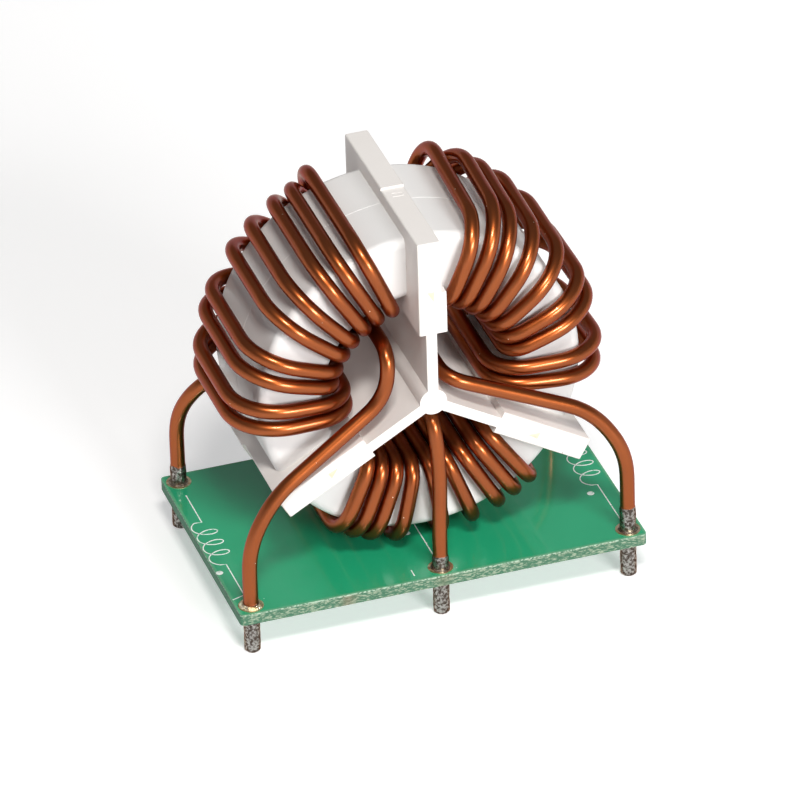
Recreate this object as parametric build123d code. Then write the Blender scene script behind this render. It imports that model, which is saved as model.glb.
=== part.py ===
from build123d import *
import math
import os

# Circuit board and its six plated holes
pin_spacing_x = 32.5
pin_row_spacing = 40.0
board_end_margin = 2.5
board_side_margin = 2.5
board_thickness = 2.0
board_corner_radius = 0.8
pin_reach = 6.5
pad_diameter = 4.2
pad_thickness = 0.1
barrel_wall = 0.1
solder_gap = 0.35
solder_collar = 0.35
solder_height = 0.5

# Case around the core ring, a front and a rear moulded shell
case_outer_diameter = 55.0
case_bore_diameter = 33.0
case_depth = 25.0
case_edge_radius = 1.5
case_wall = 1.5
lip_height = 2.0
lip_clearance = 0.05
core_clearance = 0.2

# Three armed separator, a front and a rear moulding
separator_depth = 37.6
hub_diameter = 4.6
web_thickness = 1.8
arm_thickness = 4.0
arm_start_radius = 12.8
front_arm_cover = 2.3
rear_arm_cover = 2.7
arm_edge_radius = 0.3
arm_angles = (90.0, 210.0, 330.0)
lug_height = 0.7
lug_length = 7.5

# Enamelled wire and how it lies on the case
wire_diameter = 2.5
wire_clearance = 0.3
turn_gap = 0.17
outer_slack = 0.47
board_clearance = 0.32
hub_clearance = 0.5
side_slack = 1.15
tip_chamfer = 0.3
bore_bend_factor = 1.36
outer_bend_factor = 2.0
first_bend_factor = 2.4
inner_run_share = 0.45
end_run_share = 0.9

# Middle of each winding's sector and the way its turns advance
left_sector = 150.0
right_sector = 30.0
bottom_sector = 270.0
anticlockwise = 1
clockwise = -1

# Angles from the middle of each sector to the turns on the outer wall
left_outer_angles = (-39.8, -33.6, -26.3, -15.6, -6.1, 8.2, 15.2, 27.1, 33.7)
right_outer_angles = (-41.1, -32.7, -27.2, -18.6, -7.0, 5.7, 13.1, 28.7, 36.2)
bottom_outer_angles = (-31.0, -24.7, -19.0, -10.1, 5.5, 16.8, 26.6, 33.0, 39.5)
right_rear_lean = 3.0
side_bore_shift = -2.0
bottom_bore_shift = 3.0

# Where each front lead comes forward through the bore
left_lead_angle = 125.0
right_lead_angle = 50.0
bottom_lead_angle = 275.0

# How far inside its pin each side lead comes over its shoulder
left_front_inset = 4.6
right_front_inset = 5.4
side_rear_inset = 2.9

# Lead routes, as x, depth beyond the crossing plane and height from the core
left_front_route = ((-7.6, 0.0, 1.6), (left_front_inset - pin_spacing_x, 2.4, -11.6))
right_front_route = ((pin_spacing_x - right_front_inset, 1.3, -7.7),)
bottom_front_route = ((0.9, 1.0, -14.0),)
side_rear_route = ((pin_spacing_x - side_rear_inset, -0.9, -10.8),)
bottom_rear_route = ((2.5, 1.0, -19.0),)
left_front_drop = -20.1
right_front_drop = -16.0
bottom_front_drop = -24.8
side_rear_drop = -18.0
bottom_rear_drop = -26.0

# Tin coat on the wire's ends, with its height above the board on front and rear lead
tin_thickness = 0.16
tin_taper = 0.3
left_tin = (1.1, 3.6)
right_tin = (4.4, 3.0)
middle_tin = (2.5, 1.5)

# Sizes that follow from the ones above
board_width = 2 * (pin_spacing_x + board_end_margin)
board_depth = pin_row_spacing + 2 * board_side_margin
wire_radius = wire_diameter / 2
tin_radius = wire_radius + tin_thickness
case_outer_radius = case_outer_diameter / 2
case_bore_radius = case_bore_diameter / 2
bore_wire_radius = case_bore_radius - wire_clearance - wire_radius
outer_wire_radius = case_outer_radius + wire_clearance + outer_slack + wire_radius
bore_wire_depth = case_depth / 2 + wire_clearance + wire_radius
side_wire_radius = outer_wire_radius + side_slack
outer_wire_depth = bore_wire_depth + outer_slack
crossing_depth = outer_wire_depth + wire_diameter + wire_clearance
board_top = pin_reach + board_thickness
solder_top = board_top + pad_thickness + solder_height
solder_bottom = pin_reach - pad_thickness - solder_height
core_height = board_top + board_clearance + outer_wire_radius + wire_radius
turn_pitch = math.degrees(2 * math.asin((wire_diameter + turn_gap) / 2 / bore_wire_radius))
hole_radius = wire_radius + solder_gap + barrel_wall
bore_bend = wire_diameter * bore_bend_factor
outer_bend = wire_diameter * outer_bend_factor
first_bend = wire_diameter * first_bend_factor
core_frame = Location((0, 0, core_height), (90, 0, 0))
bottom_aligned = (Align.CENTER, Align.CENTER, Align.MIN)


def disc(radius, low, high):
    return Pos(0, 0, low) * Cylinder(radius, high - low, align=bottom_aligned)


def ring(outer, inner, low, high):
    return disc(outer, low, high) - disc(inner, low, high)


def hole_places():
    places = {}
    for side, y in (("front", -pin_row_spacing / 2), ("rear", pin_row_spacing / 2)):
        for name, x in (("left", -pin_spacing_x), ("middle", 0.0), ("right", pin_spacing_x)):
            places[f"{side}_{name}"] = (x, y)
    return places


def circuit_board():
    board = Pos(0, 0, pin_reach) * Box(board_width, board_depth, board_thickness, align=bottom_aligned)
    board = fillet(board.edges().filter_by(Axis.Z), board_corner_radius)
    for x, y in hole_places().values():
        board -= Pos(x, y, 0) * disc(hole_radius, pin_reach, board_top)
    return board


def plated_hole(x, y):
    low = pin_reach - pad_thickness
    high = board_top + pad_thickness
    barrel = disc(hole_radius, low, high)
    pads = disc(pad_diameter / 2, low, pin_reach) + disc(pad_diameter / 2, board_top, high)
    return Pos(x, y, 0) * (barrel + pads - disc(hole_radius - barrel_wall, low, high))


def solder_joint(x, y):
    low = pin_reach - pad_thickness
    high = board_top + pad_thickness
    collar = Cone(wire_radius + solder_gap + solder_collar, tin_radius, solder_height, align=bottom_aligned)
    filling = disc(wire_radius + solder_gap, low, high)
    filling += Pos(0, 0, high) * collar
    filling += Pos(0, 0, low) * Rot(180, 0, 0) * collar
    return Pos(x, y, 0) * (filling - disc(wire_radius, solder_bottom, solder_top))


def case_envelope(low, high):
    body = ring(case_outer_radius, case_bore_radius, -case_depth / 2, case_depth / 2)
    body = fillet(body.edges().filter_by(GeomType.CIRCLE), case_edge_radius)
    return body & disc(case_outer_diameter, low, high)


def core_ring():
    outer = case_outer_radius - case_wall - core_clearance
    inner = case_bore_radius + case_wall + core_clearance
    reach = case_depth / 2 - case_wall - core_clearance
    return core_frame * ring(outer, inner, -reach, reach)


def case_cavity():
    reach = case_depth / 2 - case_wall
    return ring(case_outer_radius - case_wall, case_bore_radius + case_wall, -reach, reach)


def lip_ring(clearance, height):
    outer = case_outer_radius - case_wall / 2 - clearance
    inner = case_bore_radius + case_wall / 2 + clearance
    return ring(outer, inner, 0, height)


def case_front_shell():
    shell = case_envelope(0, case_depth / 2) - case_cavity()
    return core_frame * (shell - lip_ring(0, lip_height + lip_clearance))


def case_rear_shell():
    shell = case_envelope(-case_depth / 2, 0) + lip_ring(lip_clearance, lip_height)
    return core_frame * (shell - case_cavity())


def bar(thickness, start, end, low, high):
    block = Box(end - start, thickness, high - low, align=(Align.MIN, Align.CENTER, Align.MIN))
    return Pos(start, 0, low) * block


def separator_arm(tip_radius):
    arm = bar(arm_thickness, arm_start_radius, tip_radius, 0, separator_depth / 2)
    face_edges = arm.faces().sort_by(Axis.Z)[-1].edges()
    tip_edges = arm.faces().sort_by(Axis.X)[-1].edges().filter_by(Axis.Z)
    start_edge = face_edges.sort_by(Axis.X)[0]
    rounded = [edge for edge in face_edges + tip_edges if edge != start_edge]
    return fillet(rounded, arm_edge_radius)


def separator_half(cover):
    reach = separator_depth / 2
    arm = bar(web_thickness, 0, arm_start_radius, 0, reach)
    arm += separator_arm(case_outer_radius + cover)
    half = disc(hub_diameter / 2, 0, reach)
    for angle in arm_angles:
        half += Rot(0, 0, angle) * arm
    return half - case_envelope(-case_depth / 2, case_depth / 2)


def upper_lug():
    end = arm_start_radius + lug_length
    lug = bar(arm_thickness, arm_start_radius, end, case_depth / 2, separator_depth / 2)
    return Rot(0, 0, arm_angles[0]) * Pos(0, -lug_height, 0) * lug


def separator_front():
    return core_frame * (separator_half(front_arm_cover) + upper_lug())


def separator_rear():
    return core_frame * mirror(separator_half(rear_arm_cover), Plane.XY)


def around(radius, angle, depth):
    across = radius * math.cos(math.radians(angle))
    up = radius * math.sin(math.radians(angle))
    return (across, depth, core_height + up)


def turn_corners(sector, way, bore_shift, outer_angles, rear_lean, outer_radius):
    points = []
    for number, offset in enumerate(outer_angles):
        step = number - (len(outer_angles) - 1) / 2
        front = sector + way * offset
        rear = sector + way * (offset + rear_lean)
        bore = sector + way * (step * turn_pitch + bore_shift)
        points.append(around(outer_radius, rear, outer_wire_depth))
        points.append(around(outer_radius, front, -outer_wire_depth))
        points.append(around(bore_wire_radius, bore, -bore_wire_depth))
        points.append(around(bore_wire_radius, bore, bore_wire_depth))
    points[0] = (points[0][0], crossing_depth, points[0][2])
    return points


def turn_bends(turns):
    first = [first_bend, outer_bend, bore_bend, bore_bend]
    return first + [outer_bend, outer_bend, bore_bend, bore_bend] * (turns - 1)


def lead_corners(route, side, way, x, drop):
    corners = [(way * across, side * (crossing_depth + out), core_height + up) for across, out, up in route]
    return corners + [(x, side * pin_row_spacing / 2, core_height + drop)]


def soft_bends(points):
    bends = []
    shares = [inner_run_share] * (len(points) - 2) + [end_run_share]
    for start, corner, end, near, far in zip(points, points[1:], points[2:], shares, shares[1:]):
        coming = Vector(corner) - Vector(start)
        going = Vector(end) - Vector(corner)
        reach = min(coming.length * near, going.length * far)
        bends.append(reach / math.tan(math.radians(coming.get_angle(going) / 2)))
    return bends


def tinned_end(x, y, tin_top):
    taper = Cone(tin_radius, wire_radius, tin_taper, align=bottom_aligned)
    tin = disc(tin_radius, 0, solder_bottom)
    tin += disc(tin_radius, solder_top, tin_top - tin_taper)
    tin += Pos(0, 0, tin_top - tin_taper) * taper
    return Pos(x, y, 0) * tin


def winding(x, turns, lead_radius, lead_angle, front, rear, tin):
    row = pin_row_spacing / 2
    front_top = board_top + tin[0]
    rear_top = board_top + tin[1]
    lead = [around(lead_radius, lead_angle, -crossing_depth), around(lead_radius, lead_angle, crossing_depth)]
    front_bends = soft_bends([lead[0]] + front + [(x, -row, front_top)])
    rear_bends = soft_bends([turns[-1]] + rear + [(x, row, rear_top)])
    route = [(x, -row, 0)] + front[::-1] + lead + turns + rear + [(x, row, 0)]
    bends = front_bends[::-1] + [bore_bend, bore_bend] + turn_bends(len(turns) // 4) + rear_bends
    path = FilletPolyline(*route, radius=bends)
    wire = sweep(Plane(path @ 0, z_dir=path % 0) * Circle(wire_radius), path=path)
    wire += tinned_end(x, -row, front_top) + tinned_end(x, row, rear_top)
    tips = wire.edges().filter_by(GeomType.CIRCLE).group_by(Axis.Z)[0]
    return chamfer(tips, tip_chamfer)


def winding_left():
    angles = left_outer_angles
    turns = turn_corners(left_sector, anticlockwise, side_bore_shift, angles, 0, side_wire_radius)
    lead_radius = bore_wire_radius - wire_diameter - wire_clearance
    front = lead_corners(left_front_route, -1, 1, -pin_spacing_x, left_front_drop)
    rear = lead_corners(side_rear_route, 1, -1, -pin_spacing_x, side_rear_drop)
    return winding(-pin_spacing_x, turns, lead_radius, left_lead_angle, front, rear, left_tin)


def winding_right():
    angles = right_outer_angles
    turns = turn_corners(right_sector, clockwise, side_bore_shift, angles, right_rear_lean, side_wire_radius)
    lead_radius = hub_diameter / 2 + wire_radius + hub_clearance
    front = lead_corners(right_front_route, -1, 1, pin_spacing_x, right_front_drop)
    rear = lead_corners(side_rear_route, 1, 1, pin_spacing_x, side_rear_drop)
    return winding(pin_spacing_x, turns, lead_radius, right_lead_angle, front, rear, right_tin)


def winding_bottom():
    angles = bottom_outer_angles
    turns = turn_corners(bottom_sector, anticlockwise, bottom_bore_shift, angles, 0, outer_wire_radius)
    turns[-1] = (turns[-1][0], crossing_depth, turns[-1][2])
    lead_radius = hub_diameter / 2 + wire_radius + hub_clearance
    front = lead_corners(bottom_front_route, -1, 1, 0.0, bottom_front_drop)
    rear = lead_corners(bottom_rear_route, 1, 1, 0.0, bottom_rear_drop)
    return winding(0.0, turns, lead_radius, bottom_lead_angle, front, rear, middle_tin)


nodes = {
    "circuit_board": circuit_board(),
    "core_ring": core_ring(),
    "case_front_shell": case_front_shell(),
    "case_rear_shell": case_rear_shell(),
    "separator_front": separator_front(),
    "separator_rear": separator_rear(),
    "winding_left": winding_left(),
    "winding_right": winding_right(),
    "winding_bottom": winding_bottom(),
}
for place, (x, y) in hole_places().items():
    nodes[f"plated_hole_{place}"] = plated_hole(x, y)
    nodes[f"solder_{place}"] = solder_joint(x, y)

os.makedirs("parts", exist_ok=True)
for name, solid in nodes.items():
    export_step(solid, f"parts/{name}.step")
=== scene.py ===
# %% [markdown]
# # A three coil choke on its circuit board
# This lesson dresses a finished CAD model: an upright ring case with three coils of
# thick enamelled wire, kept apart by a white three armed separator, on a small green
# circuit board. The rigid solids already have the right shape, so most of the work is
# finishes. The coils are made again as one smooth tube each, because a wire bent by
# hand has no sudden change of curve, and its tinned ends need a map of their own.

# %% Load the fixed frame
import math

import bpy
import numpy as np
from mathutils import Matrix, Vector


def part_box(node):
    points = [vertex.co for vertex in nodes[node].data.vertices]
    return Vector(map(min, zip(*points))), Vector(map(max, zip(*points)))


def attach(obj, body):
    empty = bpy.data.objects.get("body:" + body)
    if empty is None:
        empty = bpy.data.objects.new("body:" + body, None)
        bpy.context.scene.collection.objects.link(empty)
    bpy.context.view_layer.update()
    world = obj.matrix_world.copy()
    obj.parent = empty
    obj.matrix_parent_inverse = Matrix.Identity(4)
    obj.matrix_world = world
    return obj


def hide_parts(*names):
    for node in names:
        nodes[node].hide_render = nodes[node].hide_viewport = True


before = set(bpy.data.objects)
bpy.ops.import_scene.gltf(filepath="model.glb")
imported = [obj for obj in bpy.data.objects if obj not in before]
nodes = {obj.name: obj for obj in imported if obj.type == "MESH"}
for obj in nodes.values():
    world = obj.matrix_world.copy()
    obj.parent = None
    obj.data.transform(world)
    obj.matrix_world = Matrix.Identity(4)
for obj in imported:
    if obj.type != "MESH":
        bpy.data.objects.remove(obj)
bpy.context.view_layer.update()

# %% [markdown]
# ## The sizes this scene needs
# Lengths are written in millimetres, as on the drawing, and turned into metres once,
# when a mesh is made. The board and the ring are measured from the frame, so that the
# scene follows the CAD model. X runs along the board, -Y faces the front of the ring,
# and Z is up from the pins' tips.

# %% Sizes, in millimetres
METRE = 0.001
wire_radius = 1.25
tin_radius = 1.41
ring_middle = 22.0
pin_x = 32.5
pin_y = 20.0
board_low, board_high = [np.array(corner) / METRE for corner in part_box("circuit_board")]
case_low, case_high = [np.array(corner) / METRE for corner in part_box("case_front_shell")]
board_top = board_high[2]
core_height = (case_low[2] + case_high[2]) / 2
case_radius = (case_high[2] - case_low[2]) / 2
core = np.array([0.0, 0.0, core_height])
print("board top", round(board_top, 3))
print("ring centre", round(core_height, 3), "ring radius", round(case_radius, 3))

# %% [markdown]
# ## The camera
# A product photograph is taken from far away with a long lens, which keeps upright
# edges nearly parallel. The camera is placed by a turn round the object, a height
# above the horizon and a distance, and then rolled by a degree or two.

# %% Camera
camera_turn = math.radians(-17.36)
camera_rise = math.radians(31.86)
camera_roll = math.radians(-1.79)
camera_distance = 1.45203
camera_target = Vector((0.00021, 0.0, 0.02899))

back = Vector((
    math.sin(camera_turn) * math.cos(camera_rise),
    -math.cos(camera_turn) * math.cos(camera_rise),
    math.sin(camera_rise),
))
level_right = Vector((math.cos(camera_turn), math.sin(camera_turn), 0.0))
level_up = back.cross(level_right)
right = level_right * math.cos(camera_roll) + level_up * math.sin(camera_roll)
up = level_up * math.cos(camera_roll) - level_right * math.sin(camera_roll)
camera_data = bpy.data.cameras.new("camera")
camera_data.sensor_width = 36.0
camera_data.lens = 398.2
camera = bpy.data.objects.new("camera", camera_data)
bpy.context.scene.collection.objects.link(camera)
camera_turned = Matrix((right, up, back)).transposed().to_4x4()
camera.matrix_world = Matrix.Translation(camera_target + back * camera_distance) @ camera_turned
bpy.context.scene.camera = camera
bpy.context.scene.view_settings.view_transform = "Standard"
print("camera at", [round(v, 3) for v in camera.matrix_world.translation])

# %% [markdown]
# ## Shader maths as plain sums
# A finish is a small computation: a mask times a colour, plus some grain. Written as
# nodes and links it is hard to read, so one class wraps an output socket and gives it
# +, -, * and a comparison. Every other node comes from one method that takes the
# node's type, its settings and its inputs.

# %% A socket that can be added and multiplied
class Signal:
    """An output socket of a node tree. Arithmetic on it adds Math nodes."""

    def __init__(self, finish, socket):
        self.finish = finish
        self.socket = socket

    def math(self, operation, *others):
        return self.finish.node("ShaderNodeMath", {"operation": operation}, dict(enumerate(others)))

    def __add__(self, other):
        return self.math("ADD", self, other)

    def __sub__(self, other):
        return self.math("SUBTRACT", self, other)

    def __rsub__(self, other):
        return self.math("SUBTRACT", other, self)

    def __mul__(self, other):
        return self.math("MULTIPLY", self, other)

    def __lt__(self, other):
        return self.math("LESS_THAN", self, other)

    def __abs__(self):
        return self.math("ABSOLUTE", self)

    def least(self, other):
        return self.math("MINIMUM", self, other)

    def most(self, other):
        return self.math("MAXIMUM", self, other)

    __radd__ = __add__
    __rmul__ = __mul__


print("a signal can:", [name for name in vars(Signal) if name[2:-2] in ("add", "mul", "lt", "abs")])

# %% A material under construction
class Finish:
    """A material that is being put together: it adds nodes and hands back Signals."""

    def __init__(self, name):
        self.material = bpy.data.materials.new(name)
        self.material.use_nodes = True
        self.tree = self.material.node_tree
        self.tree.nodes.clear()
        self.place = self.node("ShaderNodeTexCoord", output="Object")

    def node(self, kind, settings=None, inputs=None, output=0):
        """Adds one node: its settings first, a ramp's stops among them, then its inputs."""
        made = self.tree.nodes.new(kind)
        for key, value in (settings or {}).items():
            if key == "stops":
                self.set_stops(made.color_ramp, value)
            else:
                setattr(made, key, value)
        for key, value in (inputs or {}).items():
            if isinstance(value, Signal):
                self.tree.links.new(value.socket, made.inputs[key])
            else:
                made.inputs[key].default_value = value
        return Signal(self, made.outputs[output])

    @staticmethod
    def set_stops(ramp, stops):
        while len(ramp.elements) < len(stops):
            ramp.elements.new(1.0)
        for element, (position, colour) in zip(ramp.elements, stops):
            element.position = position
            element.color = colour

    def scaled(self, factors):
        """Object coordinates in millimetres, times a factor along each axis."""
        per_metre = tuple(factor / METRE for factor in factors)
        vectors = {0: self.place, 1: per_metre}
        return self.node("ShaderNodeVectorMath", {"operation": "MULTIPLY"}, vectors)

    def grain(self, size, detail=2.0, stretch=(1.0, 1.0, 1.0)):
        """Soft noise from 0 to 1 whose lumps are about size millimetres across."""
        spot = self.scaled([factor / size for factor in stretch])
        inputs = {"Vector": spot, "Scale": 1.0, "Detail": detail}
        return self.node("ShaderNodeTexNoise", {}, inputs, "Fac")

    def step(self, value, low, high):
        """0 below low, 1 above high, and a smooth ramp between them."""
        settings = {"interpolation_type": "SMOOTHSTEP"}
        inputs = {"Value": value, "From Min": low, "From Max": high}
        return self.node("ShaderNodeMapRange", settings, inputs)

    def mix(self, factor, first, second):
        """Colours are mixed by a colour node, because a Math node would turn them grey."""
        return self.node("ShaderNodeMix", {"data_type": "RGBA"}, {0: factor, 6: first, 7: second}, 2)

    def specks(self, spacing, radius, share):
        """1 inside small dots, with radius and spacing in millimetres.

        Each cell of the pattern holds one dot, and only a share of the cells keep it.
        """
        spot = self.scaled([1.0 / spacing] * 3)
        cells = {"Vector": spot, "Scale": 1.0}
        distance = self.node("ShaderNodeTexVoronoi", {}, cells, "Distance")
        cell = self.node("ShaderNodeTexVoronoi", {}, cells, "Color")
        chance = self.node("ShaderNodeSeparateColor", {}, {0: cell}, 0)
        return (distance < radius / spacing) * (chance < share)

    def bump(self, height, depth, normal=None):
        """A normal that follows height, from 0 to 1, as relief of depth millimetres."""
        inputs = {"Height": height, "Distance": depth * METRE, "Strength": 1.0}
        if normal is not None:
            inputs["Normal"] = normal
        return self.node("ShaderNodeBump", {}, inputs, "Normal")

    def surface(self, inputs):
        """Ends the material with one Principled shader."""
        shader = self.node("ShaderNodeBsdfPrincipled", {}, inputs)
        self.output(shader)
        return self.material

    def output(self, shader):
        end = self.tree.nodes.new("ShaderNodeOutputMaterial")
        self.tree.links.new(shader.socket, end.inputs["Surface"])


def colour(red, green, blue):
    return (red, green, blue, 1.0)


print("shader helpers ready")

# %% [markdown]
# ## Floor, backdrop and lamps
# The object stands on a white sweep: a floor that rises smoothly into a wall, all of
# one surface. It is a profile turned round the vertical axis, so that every view has
# the same quiet background. For camera, mirror and glass rays it glows a little, so
# that it reads as white while it still takes the object's shadow.

# %% The sweep
def revolve(profile, centre, turns=48):
    """A profile of (radius, height) points turned round Z: x = r cos a, y = r sin a, z = h."""
    angles = np.linspace(0.0, 2 * np.pi, turns, endpoint=False)
    radius, height = np.array(profile, float).T
    x = centre[0] + radius[:, None] * np.cos(angles)
    y = centre[1] + radius[:, None] * np.sin(angles)
    z = centre[2] + np.broadcast_to(height[:, None], x.shape)
    return np.stack([x, y, z], axis=-1)


def grid_faces(rows, columns, closed):
    """Quads between the neighbouring points of a grid. Its columns wrap round if it is closed."""
    first = np.arange(columns if closed else columns - 1)
    second = (first + 1) % columns
    base = np.arange(rows - 1)[:, None] * columns
    beyond = base + columns
    quads = np.stack([base + first, base + second, beyond + second, beyond + first], axis=-1)
    return quads.reshape(-1, 4)


def make_piece(name, points, faces, smooth=True, extra=()):
    """A new mesh object at the origin, from points in millimetres, quads and any extra triangles."""
    mesh = bpy.data.meshes.new(name)
    corners = np.concatenate([faces.ravel(), np.array(extra, int).ravel()]).astype(np.int32)
    sizes = np.concatenate([np.full(len(faces), faces.shape[1]), np.full(len(extra), 3)])
    starts = np.concatenate([[0], np.cumsum(sizes)[:-1]])
    mesh.vertices.add(len(points))
    mesh.vertices.foreach_set("co", (np.asarray(points, float) * METRE).astype(np.float32).ravel())
    mesh.loops.add(len(corners))
    mesh.loops.foreach_set("vertex_index", corners)
    mesh.polygons.add(len(sizes))
    mesh.polygons.foreach_set("loop_start", starts.astype(np.int32))
    mesh.polygons.foreach_set("use_smooth", np.full(len(sizes), smooth))
    mesh.update(calc_edges=True)
    mesh.validate()
    piece = bpy.data.objects.new(name, mesh)
    bpy.context.scene.collection.objects.link(piece)
    return piece


sweep_bend = np.linspace(0.0, np.pi / 2, 24)
sweep_profile = [(0.0, 0.0), (900.0, 0.0)]
sweep_profile += list(zip(1600.0 + 900.0 * np.sin(sweep_bend), 900.0 * (1 - np.cos(sweep_bend))))
sweep_points = revolve(sweep_profile, (0.0, 0.0, 0.0), 96)
sweep = make_piece("sweep", sweep_points.reshape(-1, 3), grid_faces(len(sweep_profile), 96, True))
print("sweep:", len(sweep.data.polygons), "faces")

# %% White paper that keeps the shadow
paper_shine = 0.42
paper_seen_by = ("Is Camera Ray", "Is Glossy Ray", "Is Transmission Ray")
paper = Finish("white_paper")
paper_rays = [paper.node("ShaderNodeLightPath", output=name) for name in paper_seen_by]
paper_seen = paper_rays[0].most(paper_rays[1]).most(paper_rays[2])
paper_grain = paper.grain(60.0)
paper_tone = paper.mix(paper_grain, colour(0.73, 0.73, 0.735), colour(0.75, 0.75, 0.755))
paper_body = paper.node("ShaderNodeBsdfDiffuse", {}, {"Color": paper_tone})
paper_light = {"Color": colour(1.0, 1.0, 1.0), "Strength": paper_seen * paper_shine}
paper_glow = paper.node("ShaderNodeEmission", {}, paper_light)
paper.output(paper.node("ShaderNodeAddShader", {}, {0: paper_body, 1: paper_glow}))
sweep.data.materials.append(paper.material)
print("paper glows by", paper_shine, "for", len(paper_rays), "kinds of ray")

# %% Lamps
def soft_box(name, turn, rise, distance, width, height, power, tint=(1.0, 1.0, 1.0)):
    """A rectangular lamp that faces the object.

    Its place is a turn and a rise in degrees and a distance in metres from the ring.
    """
    turn, rise = math.radians(turn), math.radians(rise)
    away = Vector((math.sin(turn) * math.cos(rise), -math.cos(turn) * math.cos(rise), math.sin(rise)))
    lamp = bpy.data.lights.new(name, "AREA")
    lamp.shape = "RECTANGLE"
    lamp.size = width
    lamp.size_y = height
    lamp.energy = power
    lamp.color = tint
    holder = bpy.data.objects.new(name, lamp)
    bpy.context.scene.collection.objects.link(holder)
    holder.location = Vector(core * METRE) + away * distance
    holder.rotation_mode = "QUATERNION"
    holder.rotation_quaternion = away.to_track_quat("Z", "Y")
    return holder


soft_box("front_fill", 14.0, 22.0, 1.9, 0.7, 0.45, 27.5)
soft_box("high_key", -12.0, 55.0, 1.0, 0.22, 0.14, 6.5, (1.0, 0.97, 0.93))
world = bpy.data.worlds.new("studio")
bpy.context.scene.world = world
world.use_nodes = True
world.node_tree.nodes["Background"].inputs["Color"].default_value = colour(0.95, 0.97, 1.0)
world.node_tree.nodes["Background"].inputs["Strength"].default_value = 0.215
print("lamps:", [light.name for light in bpy.data.lights])

# %% [markdown]
# ## From corners to a smooth wire
# A wound wire goes straight, bends, goes straight again. The route is a list of
# corners with a bend radius each. Every bend is an arc that touches both runs. The
# path is then cut into equal steps and blurred along its length by about half a wire's
# thickness, because a stiff wire starts to bend a little before its corner.

# %% Arcs at all corners at once
def unit(vectors):
    return vectors / np.linalg.norm(vectors, axis=-1, keepdims=True)


def rounded_path(corners, radii, arc_points=14):
    """Each corner is replaced by an arc: centre - n R cos f + a R sin f.

    a is the way in, n points to the centre, and f runs from 0 to the angle of the turn.
    """
    corners = np.array(corners, float)
    radii = np.array(radii, float)[:, None]
    way_in = unit(corners[1:-1] - corners[:-2])
    way_out = unit(corners[2:] - corners[1:-1])
    turn = np.arccos(np.clip((way_in * way_out).sum(-1, keepdims=True), -1.0, 1.0))
    inward = unit(way_out - way_in * np.cos(turn))
    start = corners[1:-1] - way_in * radii * np.tan(turn / 2)
    centre = start + inward * radii
    share = turn[:, None] * np.linspace(0.0, 1.0, arc_points)[None, :, None]
    across = -inward[:, None] * np.cos(share)
    along = way_in[:, None] * np.sin(share)
    arcs = centre[:, None] + radii[:, None] * (across + along)
    return np.concatenate([corners[:1], arcs.reshape(-1, 3), corners[-1:]])


def even_path(points, spacing):
    """The same path with its points an equal distance apart, and how far along each lies."""
    runs = np.linalg.norm(np.diff(points, axis=0), axis=1)
    reached = np.concatenate([[0.0], np.cumsum(runs)])
    along = np.linspace(0.0, reached[-1], int(round(reached[-1] / spacing)) + 1)
    even = np.stack([np.interp(along, reached, points[:, axis]) for axis in range(3)], axis=1)
    return even, along


def relaxed(points, spacing, blur):
    """A weighted mean of each point and its neighbours along the path.

    The weights are a bell curve, exp(-d^2 / 2 blur^2). The ends stay where they are.
    """
    reach = int(math.ceil(3 * blur / spacing))
    weights = np.exp(-0.5 * (np.arange(-reach, reach + 1) * spacing / blur) ** 2)
    weights /= weights.sum()
    before = 2 * points[:1] - points[reach:0:-1]
    after = 2 * points[-1:] - points[-2:-reach - 2:-1]
    padded = np.concatenate([before, points, after])
    return np.stack([np.convolve(padded[:, axis], weights, "valid") for axis in range(3)], axis=1)


print("path helpers ready")

# %% [markdown]
# ## Where each coil's wire runs
# A turn goes over the ring's outer wall, down the front face, back through the bore
# and up the rear face, so it has four corners. In the bore the turns lie side by side.
# On the outer wall they fan out unevenly, as the photograph shows, so each has an
# angle and a reach of its own. The last two turns of each side coil find the bore's
# wall full, so they lie on top of the others there. Both ends cross over the other
# turns to reach their pins.

# %% Corner tables, angles in degrees from the ring's centre
outer_radius = 29.52
bore_radius = 14.95
outer_depth = 14.52
side_depth = 15.4
bore_depth = 14.05
crossing_depth = 17.32
bore_pitch = 2 * math.degrees(math.asin(2.67 / 2 / bore_radius))
bore_bend = 3.4
top_layer_bend = 6.0
outer_bend = 5.0
first_bend = 6.0

top_layer_radius = 12.2
top_layer_fan = (29.5, 41.7)

left_fan = (-39.8, -32.2, -25.4, -15.6, -6.1, 8.2, 15.2, 27.1, 33.7)
left_reach = (29.8, 30.4, 30.6, 30.7, 30.7, 30.8, 31.0, 31.3, 31.4)
right_fan = (-41.1, -34.2, -27.8, -18.6, -7.0, 5.7, 13.1, 28.7, 36.2)
right_reach = (30.2, 31.9, 31.4, 31.1, 31.1, 31.2, 31.2, 31.4, 31.4)
bottom_fan = (-31.0, -24.7, -19.0, -10.1, 5.5, 16.8, 26.6, 33.0, 39.5)
print("turns per coil:", len(left_fan), len(right_fan), len(bottom_fan))

# %% Corners of the turns and the leads
def on_ring(radius, angle, depth):
    """A point in the ring's own plane: x = r cos a, z = r sin a above its centre, y = depth."""
    radius, angle = np.asarray(radius), np.radians(angle)
    x = radius * np.cos(angle)
    z = core_height + radius * np.sin(angle)
    return np.stack(np.broadcast_arrays(x, depth, z), axis=-1)


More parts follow.
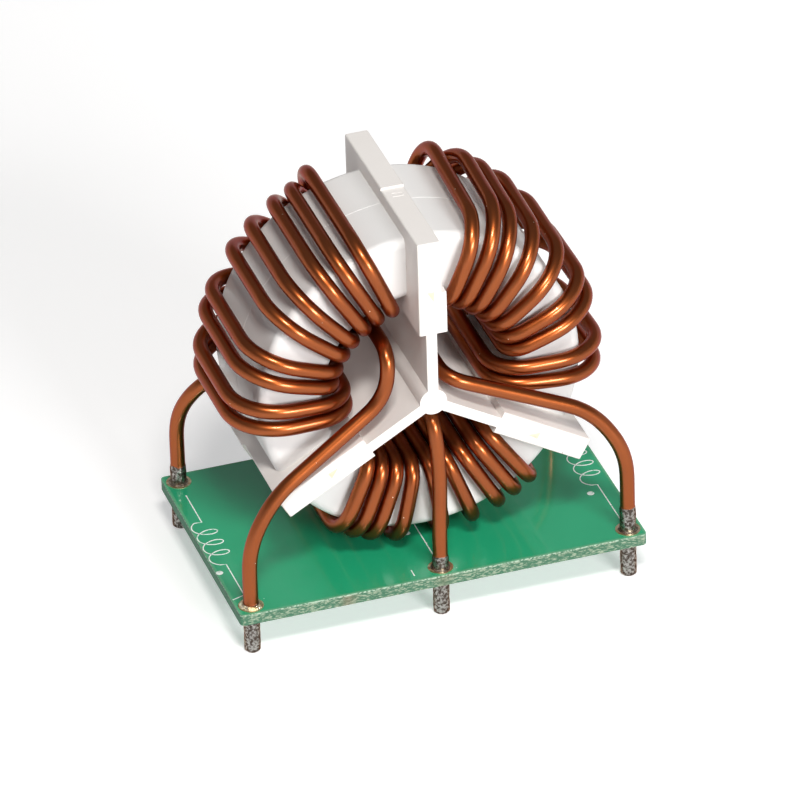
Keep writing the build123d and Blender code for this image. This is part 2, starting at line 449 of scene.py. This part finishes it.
def turn_corners(sector, way, bore_shift, fan, reach, depth, rear_lean=0.0, top_layer=()):
    """The four corners of every turn at once, in the order the wire meets them.

    The last turns may lie on a second layer in the bore, at the angles in top_layer.
    """
    fan = np.array(fan)
    in_bore = (np.arange(len(fan)) - (len(fan) - 1) / 2) * bore_pitch + bore_shift
    bore_reach = np.full(len(fan), bore_radius)
    if top_layer:
        in_bore[-len(top_layer):] = top_layer
        bore_reach[-len(top_layer):] = top_layer_radius
    bore = sector + way * in_bore
    front = sector + way * fan
    rear = front + way * rear_lean
    rear_outer = on_ring(reach, rear, depth)
    front_outer = on_ring(reach, front, -depth)
    front_bore = on_ring(bore_reach, bore, -bore_depth)
    rear_bore = on_ring(bore_reach, bore, bore_depth)
    corners = np.stack([rear_outer, front_outer, front_bore, rear_bore], axis=1).reshape(-1, 3)
    corners[0, 1] = crossing_depth
    return corners


def soft_bends(points):
    """Radii that bend a lead over as much of its runs as it can: r = reach / tan(turn / 2)."""
    points = np.array(points, float)
    runs = np.diff(points, axis=0)
    lengths = np.linalg.norm(runs, axis=1)
    shares = np.append(np.full(len(lengths) - 1, 0.45), 0.9)
    reach = np.minimum(lengths[:-1] * shares[:-1], lengths[1:] * shares[1:])
    turn = np.arccos((unit(runs[:-1]) * unit(runs[1:])).sum(-1))
    return list(reach / np.tan(turn / 2))


def slack_bends(reach):
    """The further a turn stands off the case, the wider it can bend round the case's edge."""
    return np.interp(reach, (29.5, 30.7, 31.4), (5.0, 7.2, 8.2))


def coil_route(x, turns, outer_bends, lead_place, front, rear, tin):
    """The whole wire from the front pin's tip to the rear pin's, and the radius of every bend.

    lead_place is the radius and angle at which the lead passes through the bore. tin is
    the height of the tin above the board on the front and on the rear lead.
    """
    lead = [on_ring(*lead_place, depth) for depth in (-crossing_depth, crossing_depth)]
    front_bends = soft_bends([lead[0]] + front + [(x, -pin_y, board_top + tin[0])])
    rear_bends = soft_bends([turns[-1]] + rear + [(x, pin_y, board_top + tin[1])])
    route = [(x, -pin_y, 0.0)] + front[::-1] + lead + list(turns) + rear + [(x, pin_y, 0.0)]
    turn_bends = [bend for outer in outer_bends for bend in (outer, outer, bore_bend, bore_bend)]
    turn_bends[0] = first_bend
    if x != 0.0:
        turn_bends[-6] = turn_bends[-2] = top_layer_bend
    bends = front_bends[::-1] + [bore_bend, bore_bend] + turn_bends + rear_bends
    return route, bends, tin


def lead_points(corners, side, x, drop):
    """A lead's corners, then the top of its pin, where the wire drops straight down.

    A corner is its x, how far it lies beyond the crossing plane, and its height from the
    ring's centre. side is -1 at the front and 1 at the rear.
    """
    points = [
        (across, side * (crossing_depth + out), core_height + rise)
        for across, out, rise in corners
    ]
    return points + [(x, side * pin_y, core_height + drop)]


print("turns lie", round(bore_pitch, 2), "degrees apart in the bore")

# %% The three routes
side_shift = -2.0
left_lead, left_tin = (11.9, 125.0), (0.7, 3.6)
left_turns = turn_corners(150.0, 1, side_shift, left_fan, left_reach, side_depth, 0.0, top_layer_fan)
left_front = lead_points([(-7.6, 0.0, 1.6), (-27.9, 2.4, -11.6)], -1, -pin_x, -20.1)
left_rear = lead_points([(-29.6, -0.9, -10.8)], 1, -pin_x, -18.0)
left_bends = slack_bends(left_reach)
left_plan = coil_route(-pin_x, left_turns, left_bends, left_lead, left_front, left_rear, left_tin)

right_lean = 3.0
right_lead, right_tin = (4.05, 50.0), (4.6, 3.0)
right_turns = turn_corners(
    30.0, -1, side_shift, right_fan, right_reach, side_depth, right_lean, top_layer_fan)
right_front = lead_points([(27.1, 1.3, -7.7)], -1, pin_x, -16.0)
right_rear = lead_points([(29.6, -0.9, -10.8)], 1, pin_x, -18.0)
right_bends = slack_bends(right_reach)
right_plan = coil_route(pin_x, right_turns, right_bends, right_lead, right_front, right_rear, right_tin)

bottom_shift = 3.0
bottom_lead, bottom_tin = (4.05, 275.0), (2.5, 1.5)
bottom_turns = turn_corners(270.0, 1, bottom_shift, bottom_fan, outer_radius, outer_depth)
bottom_turns[-1, 1] = crossing_depth
bottom_ends = [
    lead_points([(0.9, 1.0, -14.0)], -1, 0.0, -24.8),
    lead_points([(2.5, 1.0, -19.0)], 1, 0.0, -26.0),
]
bottom_bends = [outer_bend] * len(bottom_fan)
bottom_plan = coil_route(0.0, bottom_turns, bottom_bends, bottom_lead, *bottom_ends, bottom_tin)

plans = {"winding_left": left_plan, "winding_right": right_plan, "winding_bottom": bottom_plan}
print("corners per coil:", {name: len(route) for name, (route, bends, tin) in plans.items()})

# %% [markdown]
# ## A tube along a path
# The wire's round section is carried along the path. At each point it needs two
# directions across the wire. They come from the line that joins the point to the
# middle of the ring's body, which turns smoothly with the wire, so that the tube does
# not twist. Dipping the ends in molten tin leaves them thicker and a little lumpy, so
# the radius grows and varies there. A number on each point says how far it is above
# the end of the tin.

# %% Directions across the wire, and the tin's unevenness
spacing = 0.5
sides = 26
wire_blur = 1.1
tip_chamfer = 0.3
tin_taper = 0.5
tin_unevenness = 0.05
enamelled_radius = wire_radius * 0.995


def across_wire(path):
    """Two unit directions across the wire, at right angles to each other.

    The first points away from the circle that runs round the middle of the ring's body.
    """
    ahead = unit(np.gradient(path, axis=0))
    from_core = path - core
    in_plane = from_core * [1.0, 0.0, 1.0]
    middle = ring_middle * unit(in_plane)
    away = from_core - middle
    first = unit(away - ahead * (away * ahead).sum(-1, keepdims=True))
    return first, np.cross(ahead, first)


def tin_lumps(angle, along, phase):
    """A slow uneven thickness from -1 to 1: three waves that do not line up."""
    waves = np.sin(2 * angle + 2.1 * along + phase) + np.sin(3 * angle - 1.3 * along + 2 * phase)
    return (waves + np.sin(angle + 3.7 * along + 3 * phase)) / 3


print("tube of", sides, "sides, a ring every", spacing, "mm")

# %% Tubes for the three coils
def coil_tube(name, route, bends, tin, phase):
    """A closed tube: path + r (cos a first + sin a second).

    Its ends are flat with a chamfer, and each closes in one point.
    """
    path, along = even_path(rounded_path(route, bends), spacing)
    path = relaxed(path, spacing, wire_blur)
    first, second = across_wire(path)
    length = along[-1]
    above_tin = np.minimum(along - board_top - tin[0], length - along - board_top - tin[1])
    tinned = np.clip(-above_tin / tin_taper, 0.0, 1.0)[:, None]
    angle = np.linspace(0.0, 2 * np.pi, sides, endpoint=False)[None, :]
    lumps = (tin_lumps(angle, along[:, None], phase) - 1) * tin_unevenness
    radius = enamelled_radius + (tin_radius - wire_radius + lumps) * tinned
    outward = np.cos(angle)[..., None] * first[:, None] + np.sin(angle)[..., None] * second[:, None]
    rings = path[:, None] + radius[..., None] * outward
    rings[1] = path[0] + (rings[1] - path[1]) + (path[1] - path[0]) * tip_chamfer / spacing
    rings[-2] = path[-1] + (rings[-2] - path[-2]) + (path[-2] - path[-1]) * tip_chamfer / spacing
    rings[0] = path[0] + (rings[0] - path[0]) * (1 - tip_chamfer / tin_radius)
    rings[-1] = path[-1] + (rings[-1] - path[-1]) * (1 - tip_chamfer / tin_radius)
    rows = len(path)
    points = np.concatenate([rings.reshape(-1, 3), path[:1], path[-1:]])
    faces = grid_faces(rows, sides, True)
    here = np.arange(sides)
    after = (here + 1) % sides
    last = (rows - 1) * sides
    start_fan = np.stack([np.full(sides, rows * sides), after, here], axis=1)
    end_fan = np.stack([np.full(sides, rows * sides + 1), last + here, last + after], axis=1)
    tube = make_piece(name + "_wire", points, faces, True, np.concatenate([start_fan, end_fan]))
    heights = np.concatenate([np.repeat(above_tin, sides), above_tin[:1], above_tin[-1:]])
    heights = np.clip(heights, -10.0, 10.0).astype(np.float32)
    tube.data.attributes.new("above_tin", "FLOAT", "POINT").data.foreach_set("value", heights)
    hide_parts(name)
    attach(tube, "root")
    print(name, "wire length", round(length, 1), "mm,", len(tube.data.polygons), "faces")
    return tube


coils = [coil_tube(name, *plan, phase) for phase, (name, plan) in enumerate(plans.items())]

# %% [markdown]
# ## Solder in the holes
# Molten solder climbs the wire and leaves a hollow curved collar. Only on the front left
# pin is there so much of it that it bulges well above its pad. The collar is a short
# profile turned round the wire, and its edge waves slightly.

# %% Solder collars
pin_places = {
    f"{row}_{side}": (x, y)
    for row, y in (("front", -pin_y), ("rear", pin_y))
    for side, x in (("left", -pin_x), ("middle", 0.0), ("right", pin_x))
}
pad_thickness = 0.1
pad_top = board_top + pad_thickness
pad_under = board_low[2] - pad_thickness
barrel_radius = 1.6
solder_start = tin_radius * 0.94
tall_collar = {"height": 0.6, "spread": 2.0, "curve": 0.55}
sunk_collar = {"height": 0.16, "spread": 1.7, "curve": 2.0}
under_collar = {"height": 0.45, "spread": 1.95, "curve": 2.0}


def collar_profile(height, spread, curve, steps=9):
    """A curve from the wire down to the pad: h falls evenly and r grows as down ^ curve.

    The collar is hollow where curve is above 1, and full where it is below 1.
    """
    down = np.linspace(0.0, 1.0, steps)
    radius = solder_start + (spread - solder_start) * down ** curve
    return list(zip(radius, height * (1 - down)))


def solder_piece(place, x, y, columns=40):
    """A closed ring of solder: its profile turned round the pin, with a wavy edge."""
    upper = collar_profile(**(tall_collar if place == "front_left" else sunk_collar))
    lower = collar_profile(**under_collar)
    profile = [(radius, pad_top + height) for radius, height in upper]
    profile += [(barrel_radius, pad_top), (barrel_radius, pad_under)]
    profile += [(radius, pad_under - height) for radius, height in lower[::-1]]
    points = revolve(profile, (x, y, 0.0), columns)
    angle = np.linspace(0.0, 2 * np.pi, columns, endpoint=False)
    wave = 1 + 0.05 * np.sin(3 * angle + x) + 0.03 * np.sin(5 * angle + y)
    spread = points[..., :2] - (x, y)
    outside = np.linalg.norm(spread, axis=-1, keepdims=True) > barrel_radius + 0.02
    waved = (x, y) + spread * np.minimum(wave, 1.0)[None, :, None]
    points[..., :2] = np.where(outside, waved, points[..., :2])
    here = np.arange(columns)
    after = (here + 1) % columns
    last = (len(profile) - 1) * columns
    inner = np.stack([last + here, last + after, after, here], axis=1)
    faces = np.concatenate([grid_faces(len(profile), columns, True), inner])[:, ::-1]
    piece = make_piece(f"solder_collar_{place}", points.reshape(-1, 3), faces)
    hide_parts(f"solder_{place}")
    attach(piece, "root")
    return piece


collars = {place: solder_piece(place, x, y) for place, (x, y) in pin_places.items()}
print("solder collars:", len(collars))

# %% [markdown]
# ## White print on the board
# Beside each coil's pair of pins the board shows the sign for a coil: a line, four
# humps joined by small loops, a line, and a dot that marks the start of the wire. It
# is screen printed, a few hundredths of a millimetre thick, so it is made as a flat
# ribbon that follows a curve.

# %% Ribbons
print_width = 0.19
print_height = 0.03


def ribbon(name, line):
    """A flat band along a line on the board: line +/- half the width across it, at two heights."""
    line = np.array(line, float)
    ahead = unit(np.gradient(line, axis=0))
    across = np.stack([-ahead[:, 1], ahead[:, 0]], axis=1) * print_width / 2
    low = np.full((len(line), 1), board_top)
    high = low + print_height
    left_edge, right_edge = line + across, line - across
    section = ((left_edge, low), (left_edge, high), (right_edge, high), (right_edge, low))
    points = np.stack([np.hstack(corner) for corner in section], axis=1)
    faces = grid_faces(len(line), 4, True)
    last = 4 * (len(line) - 1)
    ends = np.array([[0, 1, 2, 3], [last + 3, last + 2, last + 1, last]])
    return make_piece(name, points.reshape(-1, 3), np.concatenate([faces, ends]), False)


def dot(name, x, y, radius, columns=28):
    """A low round dot: a centre point, a rim at full height and a rim on the board."""
    points = revolve([(radius * 0.8, print_height), (radius, 0.0)], (x, y, board_top), columns)
    faces = grid_faces(2, columns, True)[:, ::-1]
    centre = [[x, y, board_top + print_height]]
    here = np.arange(columns)
    fan = np.stack([np.full(columns, 2 * columns), here, (here + 1) % columns], axis=1)
    return make_piece(name, np.concatenate([points.reshape(-1, 3), centre]), faces, True, fan)


def coil_sign(x, middle, from_y, to_y, humps=4, pitch=3.29, width=1.95, swing=1.4):
    """A line, then humps whose loops lean to +X, then a line.

    The humps are x = x0 - w sin t and y = y0 - p t / 2 pi + s cos t.
    """
    t = np.linspace(0.55, (2 * humps - 1) * np.pi - 0.35, 44 * humps)
    first = middle + pitch * (humps - 1) / 2
    curve_x = x - 0.25 - width * np.sin(t)
    curve_y = first - pitch * (t - np.pi / 2) / (2 * np.pi) + swing * np.cos(t)
    start = [(x, from_y), (x, curve_y[0] - 0.1)]
    end = [(x, curve_y[-1] - 0.15), (x, to_y)]
    return start + list(zip(curve_x, curve_y)) + end


signs = [
    ribbon("print_left_sign", coil_sign(-32.6, 0.22, 15.6, -16.6)),
    ribbon("print_left_tick", [(-32.75, -16.7), (-34.8, -17.4)]),
    dot("print_left_dot", -34.4, -8.9, 0.6),
    ribbon("print_middle_sign", coil_sign(0.05, 1.2, 16.4, -16.6)),
    ribbon("print_middle_tick", [(-4.8, -19.2), (-4.8, -21.0)]),
    ribbon("print_middle_line", [(-4.9, 9.0), (-4.9, -9.4)]),
    dot("print_middle_dot", -1.95, -8.25, 0.6),
    ribbon("print_right_sign", coil_sign(32.35, 1.7, 16.4, -16.6)),
    dot("print_right_dot", 30.4, -7.5, 0.6),
]
for sign in signs:
    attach(sign, "root")
print("printed pieces:", len(signs))

# %% [markdown]
# ## Small moulding marks and painted pocket shade
# Moulded plastic shows how it was made. On each arm's front face a small pale brown chip
# is painted where a little pocket lies in shadow, so its colour is painted shade. An
# ejector pin leaves a rectangle on top of the upright arm, and the two case shells meet
# in a fine raised line. All are only hundredths of a millimetre high, and they catch the
# light.

# %% Shapes of the moulding marks
arm_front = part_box("separator_front")[0][1] / METRE
arm_tip = case_radius + 2.3


# The chips carry painted shade: their pale brown stands where small pockets on the arms' front faces
# lie in shadow.
def painted_shade_chip(name, angle, radius, size, proud=0.08):
    """A low three sided pyramid on an arm's front face, at an angle and radius from the hub."""
    outward = np.array([math.cos(math.radians(angle)), 0.0, math.sin(math.radians(angle))])
    beside = np.array([-outward[2], 0.0, outward[0]])
    base = core * [1, 0, 1] + outward * radius + np.array([0.0, arm_front, 0.0])
    points = np.array([
        base + outward * size + beside * size * 0.55,
        base + outward * size - beside * size * 0.75,
        base - outward * size - beside * size * 0.55,
        base + outward * size * 0.35 - beside * size * 0.25 + np.array([0.0, -proud, 0.0]),
    ])
    faces = np.array([[0, 1, 3], [1, 2, 3], [2, 0, 3]])
    if np.cross(points[1] - points[0], points[3] - points[0])[1] > 0:
        faces = faces[:, ::-1]
    return make_piece(name, points, faces, False)


def seam_line(radius, depth, height=0.05, width=0.22, turns=240):
    """A fine ridge round the ring's outer wall: a three point profile turned round the Y axis."""
    angles = np.linspace(0.0, 2 * np.pi, turns, endpoint=False)
    reach = np.array([radius - 0.02, radius + height, radius - 0.02])[:, None]
    side = np.array([-width / 2, 0.0, width / 2])[:, None] + depth
    x = reach * np.cos(angles)
    z = core_height + reach * np.sin(angles)
    points = np.stack([x, np.broadcast_to(side, x.shape), z], axis=-1)
    faces = grid_faces(3, turns, True)[:, ::-1]
    return make_piece("case_seam_line", points.reshape(-1, 3), faces, False)


def outline_mark(name, loop, middle, height, half_width=0.09):
    """A thin raised outline on a level face: a ridge along a closed loop of points."""
    beyond = unit(loop) * half_width
    rows = ((loop - beyond, height - 0.01), (loop, height + 0.05), (loop + beyond, height - 0.01))
    points = [np.column_stack([row + middle, np.full(len(loop), level)]) for row, level in rows]
    return make_piece(name, np.concatenate(points), grid_faces(3, len(loop), True)[:, ::-1], False)


def rounded_block(half_x, half_y, power=0.25, points=36):
    """A rectangle with soft corners: x = a |cos t|^p and y = b |sin t|^p, each with its own sign."""
    t = np.linspace(0.0, 2 * np.pi, points, endpoint=False)
    circle = np.stack([np.cos(t), np.sin(t)], axis=1)
    return np.abs(circle) ** power * np.sign(circle) * (half_x, half_y)


print("arm tips at", round(arm_tip, 2), "mm from the hub's middle")

# %% Marks on the separator and the case
chip_radius = 19.7
chip_size = 0.95
# The three chips are painted shade of small pockets; the ejector outline is a real mark.
marks = [
    painted_shade_chip("painted_shade_chip_top", 90.0, chip_radius, chip_size),
    painted_shade_chip("painted_shade_chip_left", 210.0, chip_radius, chip_size),
    painted_shade_chip("painted_shade_chip_right", 330.0, chip_radius, chip_size),
    outline_mark("ejector_block", rounded_block(0.95, 0.55), (0.2, -2.2), core_height + arm_tip),
]
seam = seam_line(case_radius, 0.0)
for mark in marks + [seam]:
    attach(mark, "root")
print("moulding marks:", [mark.name for mark in marks + [seam]])

# %% [markdown]
# ## Enamelled copper
# Magnet wire is copper under a thin clear brown varnish. The copper is a metal with a
# soft sheen, and the varnish is a clear coat over it with a sharper gleam. Handling
# leaves the sheen uneven, and dust shows as tiny pale dots. Near the ends the varnish
# is gone and the metal is grey, mottled tin. One ragged mask switches between them.

# %% Wire finish
wire = Finish("enamelled_wire")
wire_tin = wire.node("ShaderNodeAttribute", {"attribute_name": "above_tin"}, {}, "Fac")
wire_ragged = wire_tin + (wire.grain(0.9, 3.0) - 0.5) * 0.9
enamel = wire.step(wire_ragged, -0.08, 0.08)
enamel_cloud = wire.grain(9.0, 3.0)
enamel_fine = wire.grain(0.8, 4.0)
copper = wire.mix(enamel_cloud, colour(0.27, 0.062, 0.014), colour(0.37, 0.096, 0.023))
copper = wire.mix(wire.specks(1.6, 0.095, 0.18), copper, colour(0.90, 0.72, 0.52))
tin_patch = wire.step(wire.grain(0.45, 5.0), 0.40, 0.64)
tin = wire.mix(tin_patch, colour(0.085, 0.068, 0.058), colour(0.38, 0.37, 0.35))
wire_relief = wire.grain(0.7, 3.0)
enamel_roughness = enamel_cloud * 0.08 + enamel_fine * 0.05 + 0.27
tin_roughness = 0.50 - tin_patch * 0.24
enamelled_wire = wire.surface({
    "Base Color": wire.mix(enamel, tin, copper),
    "Metallic": 1.0,
    "Roughness": enamel_roughness * enamel + (1 - enamel) * tin_roughness,
    "Specular Tint": colour(0.55, 0.26, 0.12),
    "Coat Weight": enamel * 0.45,
    "Coat Roughness": 0.14,
    "Coat IOR": 1.45,
    "Normal": wire.bump(wire_relief * (1 - enamel) + enamel_fine * enamel * 0.03, 0.16),
})
print("wire finish:", len(wire.tree.nodes), "nodes")

# %% [markdown]
# ## Moulded white plastic
# The case and the separator are moulded in two slightly different whites. A mould
# leaves a very fine even grain, broad faces dish a little, and handling adds a few
# dark dots of dirt. The two finishes share one function with their own colours, and so
# does the pale brown of the chips, which is painted shade.

# %% Plastic finishes
def moulded(name, pale, shade, roughness, dirt_share=0.05):
    """A moulded plastic in two close tones, with fine grain and a few specks of dirt."""
    plastic = Finish(name)
    cloud = plastic.grain(14.0, 3.0)
    fine = plastic.grain(0.25, 3.0)
    broad = plastic.grain(6.0, 1.0)
    tone = plastic.mix(cloud, pale, shade)
    dirt = plastic.specks(3.1, 0.10, dirt_share)
    return plastic.surface({
        "Base Color": plastic.mix(dirt, tone, colour(0.16, 0.12, 0.10)),
        "Roughness": roughness + cloud * 0.10 + fine * 0.06,
        "IOR": 1.46,
        "Normal": plastic.bump(fine * 0.2 + broad, 0.02),
    })


cool_white = colour(0.80, 0.795, 0.785)
cool_shade = colour(0.765, 0.76, 0.755)
warm_white = colour(0.83, 0.80, 0.775)
warm_shade = colour(0.79, 0.755, 0.725)
# Painted shade: a pale brown for the chips that stand where small pockets lie in shadow.
pocket_shade_tan = colour(0.74, 0.60, 0.42)
pocket_shade_pale = colour(0.78, 0.68, 0.54)
case_plastic = moulded("case_plastic", cool_white, cool_shade, 0.30)
separator_plastic = moulded("separator_plastic", warm_white, warm_shade, 0.36)
chip_plastic = moulded("chip_plastic", pocket_shade_tan, pocket_shade_pale, 0.40, dirt_share=0.0)
print("plastics:", case_plastic.name, separator_plastic.name, chip_plastic.name)

# %% [markdown]
# ## The board
# The board is woven glass in resin. Its faces have a glossy green solder mask. Its long
# sawn edges show bare tan and green fibres, and its ends are a darker green. Which is
# which follows from the way the face points. The saw also frays the mask along the rim
# into a paler, rougher strip, with a light line just below it.

# %% Masks that tell the board's faces apart
board = Finish("board_laminate")
board_facing = board.node("ShaderNodeNewGeometry", output="Normal")
board_millimetres = board.scaled([1.0, 1.0, 1.0])


def board_part(vector, axis):
    """One coordinate of a vector: 0 is x, 1 is y and 2 is z."""
    return board.node("ShaderNodeSeparateXYZ", {}, {0: vector}, axis)


mask_side = board.step(abs(board_part(board_facing, 2)), 0.4, 0.6)
board_end = board.step(abs(board_part(board_facing, 0)), 0.5, 0.7)
from_end = board_high[0] - abs(board_part(board_millimetres, 0))
from_side = board_high[1] - abs(board_part(board_millimetres, 1))
from_rim = from_end.least(from_side)
fray = board.grain(0.35, 4.0)
rim = 1 - board.step(from_rim + (fray - 0.5) * 0.5, 0.25, 0.55)
line_depth = 0.15
from_line = abs(board_part(board_millimetres, 2) - (board_top - line_depth))
edge_line = 1 - board.step(from_line, 0.10, 0.20)
print("board masks:", len(board.tree.nodes), "nodes")

# %% Fibre on the edges
weave = board.grain(0.42, 5.0, (0.7, 0.7, 2.0))
brown_patch = board.step(board.grain(7.0, 2.0, (1.0, 1.0, 0.2)), 0.56, 0.72)
resin_green, glass_tan = colour(0.045, 0.150, 0.085), colour(0.30, 0.38, 0.27)
fibre = board.mix(board.step(weave, 0.44, 0.66), resin_green, glass_tan)
fibre = board.mix(brown_patch * 0.65, fibre, colour(0.19, 0.14, 0.085))
end_dark, end_light = colour(0.035, 0.15, 0.085), colour(0.075, 0.24, 0.14)
end_green = board.mix(board.step(weave, 0.30, 0.70), end_dark, end_light)
fibre = board.mix(board_end, fibre, end_green)
fibre = board.mix(edge_line * board.step(fray, 0.40, 0.62), fibre, colour(0.42, 0.56, 0.43))
print("with the fibres:", len(board.tree.nodes), "nodes")

# %% Solder mask, and the whole board
mask_cloud = board.grain(17.0, 2.0)
mask_green = board.mix(mask_cloud, colour(0.009, 0.30, 0.138), colour(0.015, 0.38, 0.182))
mask_green = board.mix(board.specks(2.3, 0.09, 0.10), mask_green, colour(0.60, 0.75, 0.66))
mask_green = board.mix(rim * 0.75, mask_green, colour(0.12, 0.38, 0.21))
mask_gloss = mask_side * (1 - rim * 0.8)
board_relief = weave * (1 - mask_side) + fray * rim * 0.6 + mask_cloud * 0.4
board_laminate = board.surface({
    "Base Color": board.mix(mask_side, fibre, mask_green),
    "Roughness": 0.62 - mask_gloss * 0.34 + fray * 0.10,
    "Coat Weight": mask_gloss,
    "Coat Roughness": 0.05,
    "Normal": board.bump(board_relief, 0.12),
})
print("board finish:", len(board.tree.nodes), "nodes")

# %% [markdown]
# ## Plating, solder, ink and ferrite
# The pads are gold coloured plating, dulled and uneven from soldering. Solder is a
# brighter, softer grey, warmed by flux on the front left pin. The ink is matt white,
# a little worn through. The core is hidden in its case and is dark, matt ferrite.

# %% Small finishes
def tarnished(name, bright, dull, size, roughness, relief):
    """A metal with dull patches about size millimetres across, and relief in millimetres."""
    metal = Finish(name)
    patch = metal.step(metal.grain(size, 4.0), 0.35, 0.65)
    fine = metal.grain(size / 3, 4.0)
    return metal.surface({
        "Base Color": metal.mix(patch, bright, dull),
        "Metallic": 1.0,
        "Roughness": roughness + patch * 0.15 + fine * 0.08,
        "Normal": metal.bump(fine + patch, relief),
    })


bright_gold = colour(0.95, 0.80, 0.55)
dull_gold = colour(0.62, 0.42, 0.22)
bright_flux = colour(0.96, 0.88, 0.66)
dull_flux = colour(0.62, 0.46, 0.22)
bright_solder = colour(0.42, 0.36, 0.29)
dull_solder = colour(0.10, 0.08, 0.06)
plated_copper = tarnished("plated_copper", bright_gold, dull_gold, 0.7, 0.24, 0.03)
solder_gold = tarnished("solder_gold", bright_flux, dull_flux, 0.8, 0.18, 0.12)
solder_metal = tarnished("solder_metal", bright_solder, dull_solder, 0.6, 0.36, 0.05)
print("metals:", plated_copper.name, solder_gold.name, solder_metal.name)

# %% Ink and ferrite
ink = Finish("white_ink")
ink_wear = ink.step(ink.grain(0.6, 4.0), 0.30, 0.46)
white_ink = ink.surface({
    "Base Color": ink.mix(ink_wear, colour(0.40, 0.58, 0.50), colour(0.86, 0.89, 0.87)),
    "Roughness": 0.62,
    "Normal": ink.bump(ink_wear, 0.02),
})

ferrite = Finish("core_ferrite")
ferrite_grain = ferrite.grain(0.4, 5.0)
core_ferrite = ferrite.surface({
    "Base Color": ferrite.mix(ferrite_grain, colour(0.045, 0.045, 0.05), colour(0.08, 0.08, 0.085)),
    "Roughness": 0.72 + ferrite_grain * 0.15,
    "Normal": ferrite.bump(ferrite_grain, 0.05),
})
print("ink and ferrite:", white_ink.name, core_ferrite.name)

# %% [markdown]
# ## Putting the finishes on
# The CAD solids keep their meshes and only get a new material. The pieces made here
# get theirs in the same way.

# %% Dress every piece
def dress(piece, material):
    piece.data.materials.clear()
    piece.data.materials.append(material)


node_finishes = {
    "circuit_board": board_laminate,
    "core_ring": core_ferrite,
    "case_front_shell": case_plastic,
    "case_rear_shell": case_plastic,
    "separator_front": separator_plastic,
    "separator_rear": separator_plastic,
}
for name, material in node_finishes.items():
    dress(nodes[name], material)
for place in pin_places:
    dress(nodes[f"plated_hole_{place}"], plated_copper)
    dress(collars[place], solder_gold if place == "front_left" else solder_metal)
for coil in coils:
    dress(coil, enamelled_wire)
for sign in signs:
    dress(sign, white_ink)
for mark in marks:
    dress(mark, chip_plastic if "chip" in mark.name else separator_plastic)
dress(seam, case_plastic)
print("materials:", sorted(material.name for material in bpy.data.materials if material.users))
